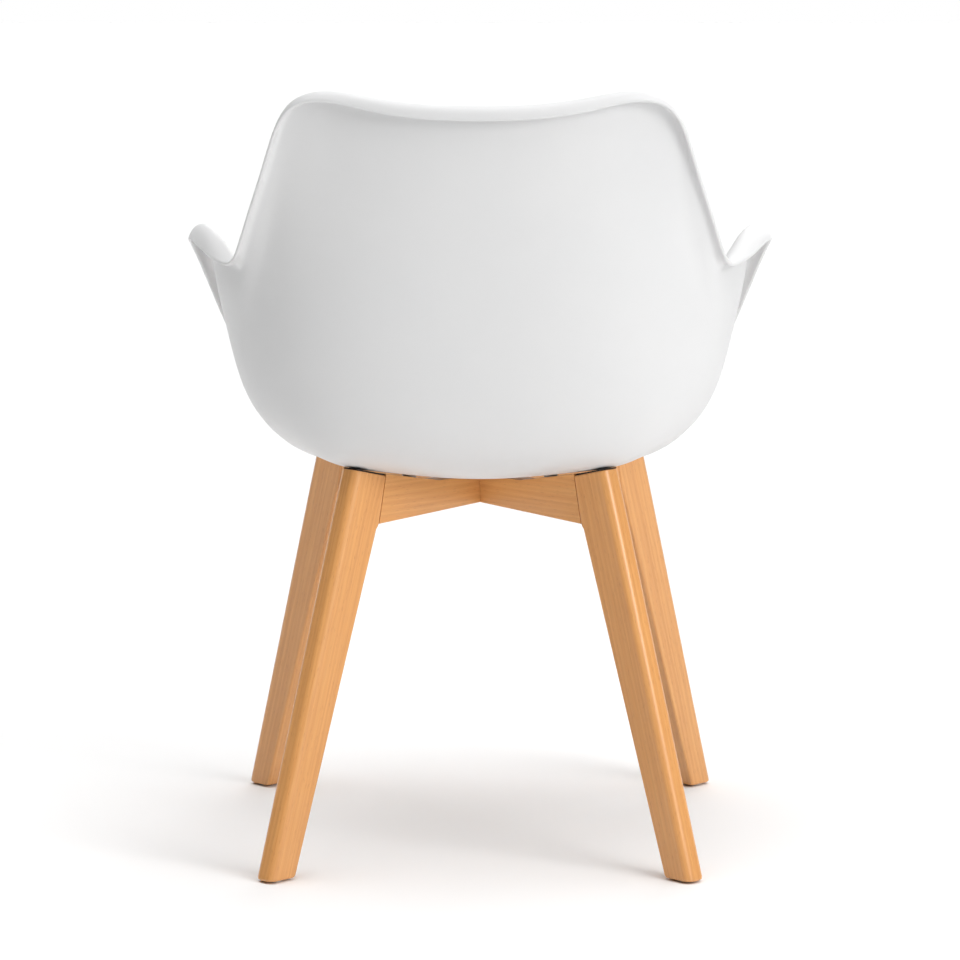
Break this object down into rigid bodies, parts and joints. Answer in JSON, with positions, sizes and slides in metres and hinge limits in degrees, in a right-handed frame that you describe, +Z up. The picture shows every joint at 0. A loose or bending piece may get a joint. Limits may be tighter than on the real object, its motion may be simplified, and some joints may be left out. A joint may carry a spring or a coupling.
{
  "type": "dining chair",
  "caption": "Armchair-style dining chair: one-piece moulded plastic tub shell with flared arms and a rolled rim, upholstered seat pad, crossed wooden boards and splayed wooden legs.",
  "frame": {"origin": "on the floor, under the middle of the chair's outline in plan", "axes": "+Z up, the sitter faces -Y, +X towards the sitter's left"},
  "size_m": [0.627, 0.558, 0.8158],
  "materials": {
    "shell": "satin white moulded polypropylene with a very fine texture",
    "seat_pad": "off-white imitation leather, fine grain, stitched edge seam",
    "beech": "clear satin lacquer on light beech, grain along each piece",
    "dowel_wood": "plain beech dowel",
    "black_rubber": "matt black rubber",
    "zinc_steel": "bright zinc plate",
    "brass": "knurled brass",
    "nylon": "off-white nylon"
  },
  "bodies": {
    "root": {"shell": "shell", "seat_pad": "seat_pad", "cross_board_a": "beech", "cross_board_b": "beech", "cross_screw": "zinc_steel", "leg_rear_left": "beech", "leg_pad_rear_left": "black_rubber", "shell_bolt_rear_left": "zinc_steel", "bolt_washer_rear_left": "zinc_steel", "shell_insert_rear_left": "brass", "leg_dowel_rear_left_1": "dowel_wood", "leg_dowel_rear_left_2": "dowel_wood", "foot_glide_rear_left": "nylon", "leg_rear_right": "beech", "leg_pad_rear_right": "black_rubber", "shell_bolt_rear_right": "zinc_steel", "bolt_washer_rear_right": "zinc_steel", "shell_insert_rear_right": "brass", "leg_dowel_rear_right_1": "dowel_wood", "leg_dowel_rear_right_2": "dowel_wood", "foot_glide_rear_right": "nylon", "leg_front_right": "beech", "leg_pad_front_right": "black_rubber", "shell_bolt_front_right": "zinc_steel", "bolt_washer_front_right": "zinc_steel", "shell_insert_front_right": "brass", "leg_dowel_front_right_1": "dowel_wood", "leg_dowel_front_right_2": "dowel_wood", "foot_glide_front_right": "nylon", "leg_front_left": "beech", "leg_pad_front_left": "black_rubber", "shell_bolt_front_left": "zinc_steel", "bolt_washer_front_left": "zinc_steel", "shell_insert_front_left": "brass", "leg_dowel_front_left_1": "dowel_wood", "leg_dowel_front_left_2": "dowel_wood", "foot_glide_front_left": "nylon"}
  },
  "joints": []
}
